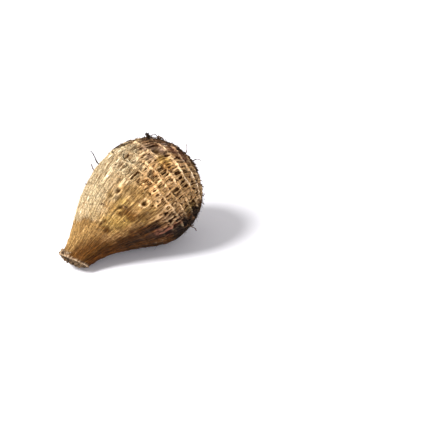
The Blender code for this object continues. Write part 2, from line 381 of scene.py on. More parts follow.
def skin_point(station, angle, lift=0.0):
    """Points of the smooth corm raised by lift, and their outward directions."""
    station, angle, lift = np.broadcast_arrays(*(np.asarray(v, float) for v in (station, angle, lift)))
    centre, axis, radius, slope = section(station)
    sideways = unit(np.cross((0.0, 0.0, 1.0), axis))
    upwards = np.cross(axis, sideways)
    spoke = sideways * np.cos(angle)[..., None] + upwards * np.sin(angle)[..., None]
    out = spoke * np.sqrt(1.0 - slope**2)[..., None] + axis * slope[..., None]
    return centre + spoke * radius[..., None] + out * lift[..., None], out


def lumps(station, angle):
    """Slow unevenness of the whole body, as a share of its radius."""
    slow = np.cos(2.0 * angle + 1.3 + 1.1 * station) + 0.7 * np.cos(3.0 * angle - 2.4 * station)
    return LUMP_SHARE * slow * np.sin(math.pi * np.minimum(station, 2.0) / 2.0)


def ring_wobble(station, angle):
    """How far a ring runs ahead of its station at this angle."""
    wave = np.sin(2.0 * angle + 0.8) + 0.6 * np.sin(5.0 * angle + 3.0 * station)
    return RING_WOBBLE * wave * smooth(station / 0.3) * smooth((2.0 - station) / 0.5)


def body_point(station, angle, lift=0.0):
    """Points of the uneven corm, before its fine relief, raised by lift."""
    body_lift = section(station)[2] * lumps(station, angle)
    return skin_point(station + ring_wobble(station, angle), angle, body_lift + lift)


def grain(station, angle, around, along, seed):
    """Smooth random values from -1 to 1, with around cells in a turn and along cells in a station."""
    lattice = np.random.default_rng(seed).uniform(-1.0, 1.0, (around, int(2.3 * along) + 3))
    x = np.mod(angle / TURN, 1.0) * around
    y = (np.clip(station, -0.1, 2.15) + 0.1) * along
    column, row = np.floor(x).astype(int), np.floor(y).astype(int)
    across, up = smooth(x - column), smooth(y - row)
    here, beside = column % around, (column + 1) % around
    low = between(lattice[here, row], lattice[beside, row], across)
    high = between(lattice[here, row + 1], lattice[beside, row + 1], across)
    return between(low, high, up)


def station_metres(station):
    return np.where(station < 1.0, NECK_STATION, CROWN_STATION)


def turned_from(angle, degrees):
    """How far round each angle is from this many degrees, the shorter way."""
    return np.mod(angle - math.radians(degrees) + math.pi, TURN) - math.pi


def metres_apart(station, angle, at_station, degrees):
    """Distance over the skin from one place, along and across."""
    along = (station - at_station) * station_metres(station)
    return along, turned_from(angle, degrees) * section(station)[2]


def reaches_off(station, angle, at, reach):
    """Distance from a place, where an oval with this reach in stations and degrees is at 1."""
    return np.hypot((station - at[0]) / reach[0], turned_from(angle, at[1]) / math.radians(reach[1]))


def patch(station, angle, at, reach, ragged, seed):
    """1 inside an oval patch of the skin, fading to 0 outside its ragged edge."""
    distance = reaches_off(station, angle, at, reach)
    distance = distance + ragged * grain(station, angle, 34, 14, seed)
    distance = distance + 0.5 * ragged * grain(station, angle, 90, 34, seed)
    return smooth(1.5 - distance)


def soft_patch(station, angle, at, reach, seed):
    """1 at the middle of an oval patch, fading evenly to 0 at its reach."""
    distance = reaches_off(station, angle, at, reach)
    return smooth(1.3 - distance + 0.35 * grain(station, angle, 34, 14, seed))


def strongest(patches, station, angle):
    """The strongest of these patches at each place."""
    found = np.zeros_like(station)
    for at_station, degrees, along, around, strength, ragged, seed in patches:
        place = (station, angle, (at_station, degrees), (along, around))
        spot = patch(*place, ragged, seed) if ragged else soft_patch(*place, seed)
        found = np.maximum(found, strength * spot)
    return found


def band_of(station):
    """Which ring lies below each station, how far up its band the station is, and the band's breadth."""
    band = np.clip(np.searchsorted(RING_EDGES, station, side="right") - 1, 0, len(RING_EDGES) - 2)
    breadth = RING_EDGES[band + 1] - RING_EDGES[band]
    return band, (station - RING_EDGES[band]) / breadth, breadth


def ribbing(station, angle):
    """How strongly the skin is ribbed and pitted: most on the belly, least on the straw flank."""
    body = smooth((station - 0.80) / 0.17) * (1.0 - 0.25 * smooth((station - 1.50) / 0.3))
    near_side = smooth((np.cos(angle - math.radians(150.0)) + 0.55) / 0.8)
    worn = smooth(grain(station, angle, 15, 6, 14) * 1.6 + 0.75)
    ribbed = np.clip(0.16 + 0.84 * body, 0.0, 1.0)
    ribbed = ribbed * (1.0 - 0.75 * strongest(STRAW_FLANKS, station, angle))
    ribbed = ribbed * (1.0 - strongest(CALM_SPOTS, station, angle))
    ribbed = ribbed * (1.0 - strongest(EASED_SPOTS, station, angle))
    return ribbed * between(0.55 * between(0.65, 1.0, worn), 1.0, near_side)


def pit_cells():
    """One cell for each pit, in two rows to a band: how many go round, and each one's place and form."""
    breadth = RING_EDGES[1:] - RING_EDGES[:-1]
    middle = np.stack([RING_EDGES[:-1] + 0.3 * breadth, RING_EDGES[:-1] + 0.7 * breadth], 1).ravel()
    draw = np.random.default_rng(21)
    pitches = PIT_PITCH * draw.uniform(0.85, 1.25, len(middle))
    counts = np.maximum(np.round(TURN * section(middle)[2] / pitches).astype(int), 9)
    shape = (len(middle), counts.max())
    return {
        "count": counts,
        "shift": draw.uniform(-0.20, 0.20, shape),
        "width": draw.uniform(0.17, 0.34, shape),
        "height": draw.uniform(0.26, 0.52, shape),
        "rise": draw.uniform(0.38, 0.62, shape),
        "lean": draw.uniform(-0.25, 0.25, shape),
        "depth": draw.uniform(0.40, 1.0, shape) * (draw.random(shape) > 0.22),
    }


PITS = pit_cells()


def pits_and_ribs(station, angle, band, share):
    """Slots in each band, from 0 outside them to 1 at their floors, and the ribs that part them."""
    warped = np.clip(share + 0.16 * grain(station, angle, 96, 16, 25), 0.0, 0.999)
    row = 2 * band + (warped > 0.5)
    up_row = np.mod(2.0 * warped, 1.0)
    count = PITS["count"][row]
    place = np.mod(angle / TURN, 1.0) * count + 0.30 * grain(station, angle, 62, 20, 24)
    cell_pit, rib = np.zeros_like(place), np.zeros_like(place)
    for step in (-1, 0, 1):
        cell = np.floor(place).astype(int) + step
        own = (row, cell % count)
        shift, lean, width = PITS["shift"][own], PITS["lean"][own], PITS["width"][own]
        across = (place - cell - 0.5 - shift - lean * (up_row - 0.5)) / width
        along = (up_row - PITS["rise"][own]) / PITS["height"][own]
        inside = 1.0 - (np.abs(across) ** 2.0 + np.abs(along) ** 2.2)
        cell_pit = np.maximum(cell_pit, PITS["depth"][own] * smooth(inside * 1.5))
        brim = np.exp(-(((np.abs(across) - 1.35) / 0.40) ** 2)) * smooth(1.7 - np.abs(along))
        rib = np.maximum(rib, brim * (PITS["depth"][own] > 0.0))
    net = grain(station, angle, 118, 17, 26) + 0.5 * grain(station, angle, 210, 34, 27)
    window = smooth(share / 0.24) * smooth((1.0 - share) / 0.22)
    holes = smooth(-0.15 - net * 1.6) * window
    combed = smooth(grain(station, angle, 22, 9, 46) * 2.5 + 0.35)
    combed = np.maximum(combed, 0.9 * soft_patch(station, angle, (1.24, 164.0), (0.26, 30.0), 18))
    comb = grain(station, angle + 0.01 * grain(station, angle, 60, 20, 47), 232, 12, 45)
    slots = smooth(0.16 - comb * 2.8) * window * combed
    rib = np.maximum(rib, smooth(comb * 3.0 - 0.2) * window * combed)
    thin = 1.0 - 0.6 * smooth(grain(station, angle, 150, 40, 28) * 2.0 - 0.3)
    cell_pit = cell_pit * (1.0 - 0.4 * combed) * smooth(share / 0.12) * smooth((1.0 - share) / 0.12)
    pit = np.clip(0.9 * cell_pit + 0.5 * holes + 0.9 * slots, 0.0, 1.0) * thin
    return pit, rib * (1.0 - smooth(pit * 3.0))


def crease(station, angle):
    """1 along the near side's crease, fading to 0 beside it."""
    knots = np.array(CREASE)
    line = np.radians(np.interp(station, knots[:, 0], knots[:, 1]))
    apart = (np.mod(angle, TURN) - line) * section(station)[2]
    apart = apart + CREASE_WANDER * grain(station, angle, 70, 40, 48)
    ends = smooth((station - knots[0, 0]) / 0.02) * smooth((knots[-1, 0] - station) / 0.05)
    return np.exp(-((apart / CREASE_HALF_WIDTH) ** 2)) * ends


def bold_rings(station, angle, ringed):
    """The rings that stand out near the crown, and the dark bands on both sides of the boldest."""
    bold = np.zeros_like(station)
    for at_station, degrees, along, around, strength, seed in BOLD_RINGS:
        ridge = np.exp(-(((ringed - at_station) / 0.012) ** 2))
        spot = soft_patch(station, angle, (at_station, degrees), (along, around), seed)
        bold = np.maximum(bold, strength * (ridge * spot))
    at_station, degrees, along, around, _, seed = BOLD_RINGS[0]
    beside = np.exp(-(((np.abs(ringed - at_station) - 0.032) / 0.014) ** 2))
    return bold, beside * soft_patch(station, angle, (at_station, degrees), (along, around - 2.0), seed)


def root_scars(station, angle, lift, pit):
    """The relief and pits with the root scars added, and masks of their holes and pale rims."""
    hole, rim = np.zeros_like(station), np.zeros_like(station)
    for at_station, degrees, size, depth, pale in ROOT_SCARS:
        along, across = metres_apart(station, angle, at_station, degrees)
        distance = np.hypot(along, across) / size * (1.0 + 0.16 * grain(station, angle, 80, 30, 39))
        inside = smooth(1.35 - distance)
        brim = np.exp(-(((distance - 1.65) / 0.42) ** 2))
        around = smooth(2.6 - distance)
        lift = lift * (1.0 - 0.7 * around) + depth * (between(0.12, 0.36, pale) * brim - inside)
        pit = pit * (1.0 - around)
        hole, rim = np.maximum(hole, inside), np.maximum(rim, pale * brim)
    return lift, pit, hole, rim


def crusted_rim(station, angle, lift):
    """The relief with the scar's crusted rim added, and the masks that colour it."""
    knob, socket = np.zeros_like(station), np.zeros_like(station)
    for at_station, degrees, size in RIM_KNOBS:
        along, across = metres_apart(station, angle, at_station, degrees)
        distance = np.hypot(along, across) / size * (1.0 + 0.2 * grain(station, angle, 60, 60, 42))
        knob = np.maximum(knob, np.exp(-(((distance - 0.9) / 0.45) ** 2)))
        socket = np.maximum(socket, smooth(1.4 - 2.0 * distance))
    knobs = grain(station, angle, 24, 60, 40) + 0.7 * grain(station, angle, 52, 110, 41)
    crust = smooth(1.0 - station / 0.050)
    torn = soft_patch(station, angle, (0.0, 70.0), (0.5, 62.0), 50)
    lift = lift + CRUST_HEIGHT * crust * (0.35 + between(0.45, 1.1, torn) * knobs)
    lift = lift + RIM_HEIGHT * np.exp(-((station / 0.012) ** 2)) * (1.0 - 0.7 * torn)
    lift = lift + KNOB_HEIGHT * (knob - 1.2 * socket)
    return lift, {"knobs": knobs, "knob": knob, "socket": socket, "torn": torn, "crust": crust}


def survey(station, angle):
    """The skin's fine relief and the masks that colour it, at these places."""
    ringed = station + 0.008 * grain(station, angle, 46, 2, 31)
    ringed = ringed + 0.004 * grain(station, angle, 120, 3, 30)
    band, share, breadth = band_of(ringed)
    past_ring = share * breadth * station_metres(station)
    before_ring = (1.0 - share) * breadth * station_metres(station)
    ribbed = ribbing(station, angle)
    ragged = 0.76 + 0.6 * grain(station, angle, 130, 30, 32) + 0.55 * grain(station, angle, 34, 11, 33)
    ring = np.exp(-((past_ring / RING_HALF_WIDTH) ** 2))
    ring = ring + np.exp(-((before_ring / (1.6 * RING_HALF_WIDTH)) ** 2))
    ring = np.clip(ring * ragged, 0.0, 1.3) * between(0.25, 1.0, ribbed)
    pit, rib = pits_and_ribs(station, angle, band, share)
    pit = pit * smooth((ribbed - 0.10) / 0.35)
    rib = rib * smooth((ribbed - 0.10) / 0.35)
    slanted = angle + 0.020 * grain(station, angle, 22, 6, 29)
    broad = grain(station, slanted, 64, 4, 43)
    coarse = grain(station, slanted, 150, 5, 34)
    fine = grain(station, slanted, 240, 8, 35)
    fibre = 0.36 * broad + 0.60 * coarse + 0.58 * fine
    crack = smooth(grain(station, slanted, 176, 9, 44) * 2.4 - 0.9)
    wart = grain(station, angle, 62, 24, 36) + 0.6 * grain(station, angle, 120, 50, 37)
    slow = grain(station, angle, 16, 6, 38)
    edge = smooth(station / 0.06) * smooth((2.0 - station) / 0.12)
    bold, beside = bold_rings(station, angle, ringed)
    crowned = smooth((station - 1.48) / 0.22)
    ring = np.maximum(ring * (1.0 + 0.4 * crowned), 1.4 * bold)
    rib = rib * (1.0 - 0.65 * crowned)
    pit = pit * (1.0 - 0.45 * crowned)
    fold = crease(station, angle)
    combed = slanted + 0.02 * grain(station, angle, 40, 12, 15)
    grooves = smooth(0.20 - 2.6 * grain(station, combed, 236, 5, 16))
    grooves = grooves * soft_patch(station, angle, *GROOVED)
    lift = (RING_HEIGHT * ring + RIB_HEIGHT * rib - PIT_DEPTH * pit) * edge
    lift += FIBRE_HEIGHT * (fibre - 1.2 * crack) * edge * between(1.0, 1.3, ribbed) * (1.0 - 0.6 * pit)
    lift += WART_HEIGHT * wart * edge * between(0.1, 1.0, ribbed) + SLOW_HEIGHT * slow * edge
    lift -= CREASE_DEPTH * fold + GROOVE_DEPTH * grooves
    lift, pit, hole, rim = root_scars(station, angle, lift, pit)
    lift += BUD_HEIGHT * smooth(1.0 - (2.0 - station) / BUD_STATIONS)
    lift, crusted = crusted_rim(station, angle, lift)
    return {
        "lift": lift,
        "radius": section(station)[2],
        "fold": fold,
        "grooves": grooves,
        "bold": bold,
        "beside": beside,
        "ring": np.clip(ring, 0.0, 1.2) * edge,
        "rib": rib * edge,
        "pit": pit * edge,
        "fibre": fibre,
        "crack": crack,
        "wart": wart,
        "hole": hole,
        "rim": rim,
        "ribbed": ribbed,
        **crusted,
    }


def skin(station, angle, above=0.0):
    """Points of the finished skin, raised by above, with their outward directions and the survey."""
    found = survey(station, angle)
    base, _ = body_point(station, angle)
    fade = smooth(base[..., 2] / GROUND_FADE)
    point, out = body_point(station, angle, found["lift"] * fade + above)
    point[..., 2] = np.maximum(point[..., 2], 0.0)
    return point, out, found


def rgb(red, green, blue):
    """Linear colour from the 0 to 255 values of a screen."""
    values = np.array((red, green, blue)) / 255.0
    return np.where(values <= 0.04045, values / 12.92, ((values + 0.055) / 1.055) ** 2.4)


# Colours of the skin, the scar and the roots
STRAW = rgb(251, 235, 201)
STRAW_SHADE = rgb(162, 132, 92)
TAN = rgb(242, 200, 144)
TAN_SHADE = rgb(142, 98, 52)
GOLD = rgb(216, 180, 98)
BRAN = rgb(196, 157, 94)
NECK = rgb(228, 190, 127)
NECK_SHADE = rgb(150, 105, 56)
NECK_DARK = rgb(104, 62, 16)
BROWN = rgb(140, 96, 42)
BROWN_SHADE = rgb(66, 38, 10)
# Dark purple-brown of the underside, partly painted shade there, and of the crown
PLUM = rgb(98, 56, 14)
PLUM_SHADE = rgb(32, 16, 7)
RUST = rgb(148, 98, 78)
RUST_SHADE = rgb(26, 8, 4)
# Near-black of the painted shadow underneath
PAINTED_SHADOW_BLACK = rgb(12, 7, 8)
MAUVE = rgb(150, 120, 104)
MAT = rgb(158, 116, 82)
ASHEN = rgb(196, 174, 166)
RUSSET = rgb(152, 90, 68)
AMBER = rgb(232, 188, 108)
OLIVE = rgb(150, 126, 66)
HONEY = rgb(204, 146, 78)
SCORCH = rgb(44, 32, 14)
# Near white of the boldest crest, partly its pale fibre and partly painted highlight
PALE_RING = rgb(240, 206, 158)
BOLD_RING = rgb(255, 228, 188)
PIT_FLOOR_TONE_AND_SHADE = rgb(88, 50, 12)
HOLE_TONE_AND_SHADE = rgb(62, 38, 9)
CRUST = rgb(132, 108, 80)
CRUST_SHADE = rgb(38, 27, 16)
RIM = rgb(208, 180, 148)
ROOT_PALE = rgb(120, 86, 62)
ROOT_DARK = rgb(36, 24, 18)

# Shares of the skin's own colour that strands and cracks take, then soil, and flecks on fibre
FIBRE_TINT = np.array((1.0, 0.96, 0.88))
CRACK_TINT = np.array((0.42, 0.34, 0.24))
SOIL = rgb(92, 62, 40)
FLECK = (0.05, 0.03, 0.015)

# Specular level of these dry, dull surfaces
DRY_SPECULAR = 0.12

# Zones laid over each other in this order, as name, dark tone, pale tone and how much of it shows. The
# first group lies under the brown neck, the second over it and the last over the dark underside.
PALE_ZONES = (
    ("straw", STRAW_SHADE, STRAW, 1.0),
    ("bran", BRAN * 0.45, BRAN, 0.85),
    ("gold", GOLD * 0.45, GOLD, 0.75),
)
TOP_ZONES = (
    ("shaded", MAUVE * 0.20, MAUVE * 1.10, 1.0),
    ("amber", AMBER * 0.6, AMBER, 0.85),
    ("olive", OLIVE, OLIVE, 0.6),
    ("mauve", MAUVE * 0.35, MAUVE, 0.75),
    ("mat", MAT * 0.35, MAT * 1.25, 0.8),
    ("ashen", ASHEN * 0.3, ASHEN * 0.85, 0.8),
)
LAST_ZONES = (
    ("russet", RUSSET * 0.3, RUSSET, 0.7),
    ("honey", HONEY * 0.5, HONEY, 0.7),
)


def blend(colour, other, mask):
    """The first colour where mask is 0 and the other where it is 1."""
    return colour + (other - colour) * np.clip(mask, 0.0, 1.0)[..., None]


def lay_over(tone, layers, masks, streak):
    """The tone with these zones laid over it, each between its dark and its pale tone by streak."""
    for name, dark, pale, share in layers:
        tone = blend(tone, blend(dark, pale, streak), share * masks[name])
    return tone


def neck_zone(station, angle, turned):
    """Where the brown neck is, and a painted shadow in brown along its end, under the raised edge of the
    paler skin.
    """
    jag = 0.020 * grain(station, angle, 90, 3, 51) + 0.02 * grain(station, angle, 18, 2, 52)
    near_side = smooth((turned - math.radians(112.0)) / math.radians(36.0))
    edge = np.interp(np.degrees(turned), NECK_EDGE_DEGREES, NECK_EDGE_STATIONS) + jag - 0.05 * near_side
    neck = smooth((edge - station) / between(0.025, 0.26, near_side) + between(0.5, 0.35, near_side))
    # A painted shadow along the neck's end, where the paler skin's edge stands over it
    painted_edge_shadow = 0.7 * np.exp(-(((station - edge) / 0.009) ** 2))
    return neck, painted_edge_shadow * soft_patch(station, angle, (0.42, 103.0), (0.20, 24.0), 78)


def zones(station, angle, streak):
    """Colour of the skin by its zones, paler with streak. Also how dark it is, and where the neck is."""
    turned = np.mod(angle + math.radians(60.0), TURN) - math.radians(60.0)
    masks = {name: strongest(patches, station, angle) for name, patches in ZONE_PATCHES.items()}
    # brown holds the painted shadow at the neck's end, then the brown blotches and the band before the
    # underside
    neck, brown = neck_zone(station, angle, turned)
    for number, (at_station, degrees, along, around, strength) in enumerate(BROWN_BLOTCHES):
        spot = patch(station, angle, (at_station, degrees), (along, around), 0.35, BLOTCH_SEED + number)
        brown = np.maximum(brown, strength * spot)
    plum_edge = np.radians(np.interp(station, PLUM_STATIONS, PLUM_DEGREES))
    wave = 0.14 * grain(station, angle, 26, 9, 61) + 0.10 * grain(station, angle, 70, 24, 62)
    # The underside is darker, partly its own soil-stained colour and partly painted shade
    under = smooth((turned - plum_edge + wave) / math.radians(17.0))
    under = under * smooth((math.radians(318.0) - turned + wave) / math.radians(30.0))
    under = between(under, 0.40, smooth((station - 1.66 + 0.5 * wave) / 0.24))
    browned = smooth((turned - plum_edge + wave + 0.19) / math.radians(15.0))
    browned = browned * (1.0 - 0.8 * smooth((station - 1.05) / 0.12))
    brown = np.maximum(brown, 0.6 * browned * (turned < math.pi * 1.5))
    crown = smooth((station - 1.42 + 0.10 * grain(station, angle, 40, 6, 63)) / 0.26)
    # Painted shadow: the near-black patches underneath
    painted_shadow = smooth(1.8 * masks["painted_shadow"] - 0.4)
    # The neck is darker towards the scar, its own colour, and towards the near side, painted shade
    scar_and_near_side_shade = smooth(1.0 - 2.4 * (station - 0.06) + 0.86 * (turned - math.radians(120.0)))
    scar_and_near_side_shade = np.maximum(scar_and_near_side_shade, 0.6 * smooth((0.16 - station) / 0.14))
    neck_pale = blend(NECK, NECK_DARK * 1.35, scar_and_near_side_shade)
    tone = lay_over(blend(TAN_SHADE, TAN, streak), PALE_ZONES, masks, streak)
    tone = blend(tone, blend(NECK_SHADE * 0.8, neck_pale, streak * between(1.0, 0.7, scar_and_near_side_shade)), neck)
    tone = blend(tone, blend(BROWN_SHADE, BROWN, streak), brown)
    tone = lay_over(tone, TOP_ZONES, masks, streak)
    tone = blend(tone, blend(PLUM_SHADE, PLUM, streak), np.maximum(0.95 * under, 0.5 * crown))
    rust = 0.9 * masks["rust"] * np.maximum(under, 0.5)
    tone = blend(tone, blend(RUST_SHADE, RUST, streak * 1.9 - 0.55), rust)
    tone = lay_over(tone, LAST_ZONES, masks, streak)
    tone = blend(tone, PAINTED_SHADOW_BLACK, 0.96 * painted_shadow)
    tone = blend(tone, SCORCH, 0.9 * masks["scorch"])
    for number, (at_station, degrees, along, around, share) in enumerate(SHADE_PATCHES):
        spot = soft_patch(station, angle, (at_station, degrees), (along, around), SHADE_SEED + number)
        tone = tone * between(1.0, share, spot)[..., None]
    dark = np.maximum(np.maximum(under, 0.5 * crown), 0.8 * masks["shaded"])
    return tone, np.clip(np.maximum(dark, 1.3 * painted_shadow), 0.0, 1.3), neck


def skin_tones(station, angle, found):
    """Colour of the skin, with its zones, rings, ribs and hollows."""
    streak = 0.55 + 1.25 * found["fibre"] + 0.06 * found["wart"]
    tone, dark, neck = zones(station, angle, streak)
    tone = tone * blend(np.ones(3), CRACK_TINT, found["crack"])
    ribbed = found["ribbed"]
    pale = np.maximum(found["ring"], 0.8 * found["rib"])
    pale = pale * between(0.15, 0.95, ribbed) * (1.0 - 0.75 * dark)
    tone = tone * between(1.0, 0.50, found["beside"])[..., None]
    tone = blend(tone, PALE_RING, pale * (1.0 - neck) * (1.0 - 0.7 * found["beside"]))
    # The boldest crest painted near white, partly its pale fibre and partly painted highlight
    tone = blend(tone, BOLD_RING, 1.3 * found["bold"])
    tone = blend(tone, PALE_RING, 0.95 * found["rim"])
    # Pit floors darker, partly their own brown and partly painted shade
    tone = blend(tone, PIT_FLOOR_TONE_AND_SHADE * between(1.0, 0.4, dark)[..., None], 0.35 * smooth(found["pit"] * 1.9))
    # Painted shade along the crease
    tone = blend(tone, BROWN_SHADE, 0.85 * found["fold"])
    # Painted shade in the grooves beside the underside
    tone = blend(tone, RUST_SHADE, 0.9 * found["grooves"])
    # The root scars' holes painted dark, partly their own brown and partly painted shade over their lit
    # walls
    tone = blend(tone, HOLE_TONE_AND_SHADE, 0.95 * found["hole"])
    knob = between(0.45, 0.20, found["torn"]) + 0.60 * found["knobs"]
    crust = blend(CRUST_SHADE, blend(CRUST, RIM, found["torn"]), knob)
    tone = blend(tone, crust, smooth(found["crust"] * 1.5 - 0.4 + 0.3 * found["knobs"] * found["torn"]))
    # Dark holes along the rim's edge and in the knobs' sockets, partly crust colour and partly painted
    # shade
    holes = smooth(grain(station, angle, 40, 20, 73) * 3.0 - 0.9 + 0.9 * found["torn"])
    at_edge = np.exp(-((station / 0.010) ** 2)) * (1.0 - 0.5 * found["torn"])
    tone = blend(tone, blend(RIM, CRUST_SHADE, holes), at_edge)
    tone = blend(tone, RIM, 0.95 * found["knob"])
    tone = blend(tone, CRUST_SHADE, found["socket"])
    return tone / np.maximum(tone.max(-1, keepdims=True), 1.0)


def face_rows(angle):
    """Points and colours of the bulging, crumbly scar face, from its middle out to its rim."""
    rim_point, _, _ = skin(np.zeros_like(angle), angle)
    centre, axis, _, _ = section(np.zeros_like(angle))
    for share in np.linspace(0.0, 1.0, FACE_ROWS, endpoint=False):
        flat = centre + (rim_point - centre) * share
        crumbs = grain(np.full_like(angle, share * 0.5), angle, 23, 22, 71)
        crumbs += 0.7 * grain(np.full_like(angle, share * 0.5), angle, 46, 44, 72)
        crumbs = crumbs * smooth(share * 3.0)
        bulge = FACE_BULGE * (1.0 - share**2) + CRUMB_HEIGHT * crumbs * smooth((1.0 - share) * 4.0)
        point = flat - axis * bulge[..., None]
        fade = smooth(point[..., 2] / GROUND_FADE)
        point = flat - axis * (bulge * fade)[..., None]
        point[..., 2] = np.maximum(point[..., 2], 0.0)
        tone = blend(CRUST_SHADE, CRUST, 0.36 + 0.7 * crumbs)
        yield point, tone, share


def opaque(colours):
    return np.concatenate([colours, np.ones((len(colours), 1))], 1)


# The kind of attribute, and its field, for this many numbers at a point
ATTRIBUTE_KINDS = {1: ("FLOAT", "value"), 3: ("FLOAT_VECTOR", "vector"), 4: ("FLOAT_COLOR", "color")}


def mesh_object(name, points, faces, attributes, material):
    mesh = bpy.data.meshes.new(name)
    mesh.from_pydata(points.tolist(), [], faces)
    for label, values in attributes.items():
        kind, field = ATTRIBUTE_KINDS[values.size // len(values)]
        made = mesh.attributes.new(label, kind, "POINT")
        made.data.foreach_set(field, values.astype(np.float32).ravel())
    mesh.polygons.foreach_set("use_smooth", [True] * len(mesh.polygons))
    mesh.materials.append(material)
    mesh.update()
    made = bpy.data.objects.new(name, mesh)
    bpy.context.scene.collection.objects.link(made)
    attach(made, BODY)
    return made


def grid_faces(rows, columns):
    """Faces of a grid that closes round itself and comes to a single point at both ends."""
    start = 1 + np.arange(rows - 1)[:, None] * columns + np.arange(columns)[None, :]
    beside = 1 + np.arange(rows - 1)[:, None] * columns + (np.arange(columns)[None, :] + 1) % columns
    quads = np.stack([start, beside, beside + columns, start + columns], -1).reshape(-1, 4).tolist()
    ring = np.arange(columns)
    after = (ring + 1) % columns
    last = 1 + (rows - 1) * columns
    first_fan = np.stack([np.zeros(columns, int), 1 + after, 1 + ring], -1).tolist()
    last_fan = np.stack([last + ring, last + after, np.full(columns, last + columns)], -1).tolist()
    return first_fan + quads + last_fan


def row_stations():
    """Stations of the mesh's rows, closer together on the rings."""
    fine = np.linspace(0.0, 2.0, FINE_STATIONS)
    nearness = np.exp(-((np.abs(fine[:, None] - RING_EDGES[None, :]).min(1) / 0.016) ** 2))
    reached = np.concatenate([[0.0], np.cumsum(1.0 + 1.1 * nearness[1:])])
    return np.interp(np.linspace(0.0, reached[-1], ROWS), reached, fine)


def fine_skin(material):
    """The corm's whole skin, with its scar face, as one closed mesh."""
    angles = np.arange(COLUMNS) * TURN / COLUMNS
    circle = np.stack([np.cos(angles), np.sin(angles), np.full(COLUMNS, -0.1)], -1)
    flat = np.zeros(COLUMNS)
    fields = {"point": [], "tone": [], "straight": [], "hollow": [], "ribbed": []}
    for point, tone, share in face_rows(angles):
        take = slice(0, 1) if share == 0.0 else slice(None)
        for label, values in zip(fields, (point, tone, circle * SCAR_RADIUS * share, flat, flat)):
            fields[label].append(values[take])
    station, angle = np.meshgrid(row_stations(), angles, indexing="ij")
    point, _, found = skin(station, angle)
    tone = skin_tones(station, angle, found)
    beyond = np.maximum(station - 1.0, 0.0)
    reach = NECK_STATION * (station - beyond) + CROWN_STATION * beyond
    straight = np.stack([found["radius"] * np.cos(angle), found["radius"] * np.sin(angle), reach], -1)
    for label, values in zip(fields, (point, tone, straight, found["pit"], found["ribbed"])):
        fields[label] += [values[:-1].reshape(-1, *values.shape[2:]), values[-1, :1]]
    fields = {label: np.concatenate(parts) for label, parts in fields.items()}
    points = fields.pop("point")
    fields["tone"] = opaque(fields["tone"])
    return mesh_object("taro_skin", points, grid_faces(FACE_ROWS + ROWS - 2, COLUMNS), fields, material)


class Socket:
    """An output of a shader node. Arithmetic on it adds Math nodes."""

    def __init__(self, finish, output):
        self.finish = finish
        self.output = output

    def maths(self, operation, left, right):
        return self.finish.node("ShaderNodeMath", {"operation": operation}, {0: left, 1: right})

    def __add__(self, other):
        return self.maths("ADD", self, other)

    def __radd__(self, other):
        return self.maths("ADD", other, self)

    def __sub__(self, other):
        return self.maths("SUBTRACT", self, other)

    def __rsub__(self, other):
        return self.maths("SUBTRACT", other, self)

    def __mul__(self, other):
        return self.maths("MULTIPLY", self, other)

    def __rmul__(self, other):
        return self.maths("MULTIPLY", other, self)


class Finish:
    """A material, with one Principled shader, that is built up from named values."""

    def __init__(self, name, roughness):
        self.material = bpy.data.materials.new(name)
        self.material.use_nodes = True
        self.tree = self.material.node_tree
        self.shader = self.tree.nodes["Principled BSDF"]
        self.shader.inputs["Roughness"].default_value = roughness
        self.shader.inputs["Specular IOR Level"].default_value = DRY_SPECULAR

    def node(self, kind, settings=None, sockets=None, output=0):
        """Adds a node with these settings, then these socket values or links, and gives an output."""
        made = self.tree.nodes.new(kind)
        for label, value in (settings or {}).items():
            setattr(made, label, value)
        for label, value in (sockets or {}).items():
            self.put(made.inputs[label], value)
        return Socket(self, made.outputs[output])

    def put(self, target, value):
        if isinstance(value, Socket):
            self.tree.links.new(value.output, target)
        elif isinstance(value, (float, int)):
            target.default_value = value
        else:
            target.default_value = (*value, 1.0) if len(target.default_value) == 4 else tuple(value)

    def set(self, label, value):
        self.put(self.shader.inputs[label], value)

    def field(self, label, output="Fac"):
        return self.node("ShaderNodeAttribute", {"attribute_name": label}, output=output)

    def stretched(self, vector, scale):
        return self.node("ShaderNodeVectorMath", {"operation": "MULTIPLY"}, {0: vector, 1: scale})

    def noise(self, vector, scale, detail, roughness):
        sockets = {"Vector": vector, "Scale": scale, "Detail": detail, "Roughness": roughness}
        return self.node("ShaderNodeTexNoise", {}, sockets)

    def contrast(self, value, low, high):
        """0 below low, 1 above high, smooth between."""
        sockets = {"Value": value, "From Min": low, "From Max": high}
        return self.node("ShaderNodeMapRange", {"interpolation_type": "SMOOTHSTEP"}, sockets)

    def mix(self, factor, colour, other, kind="MIX"):
        sockets = {0: factor, 6: colour, 7: other}
        return self.node("ShaderNodeMix", {"data_type": "RGBA", "blend_type": kind}, sockets, output=2)

    def bump(self, height, distance, strength):
        sockets = {"Height": height, "Distance": distance, "Strength": strength}
        self.set("Normal", self.node("ShaderNodeBump", {}, sockets))


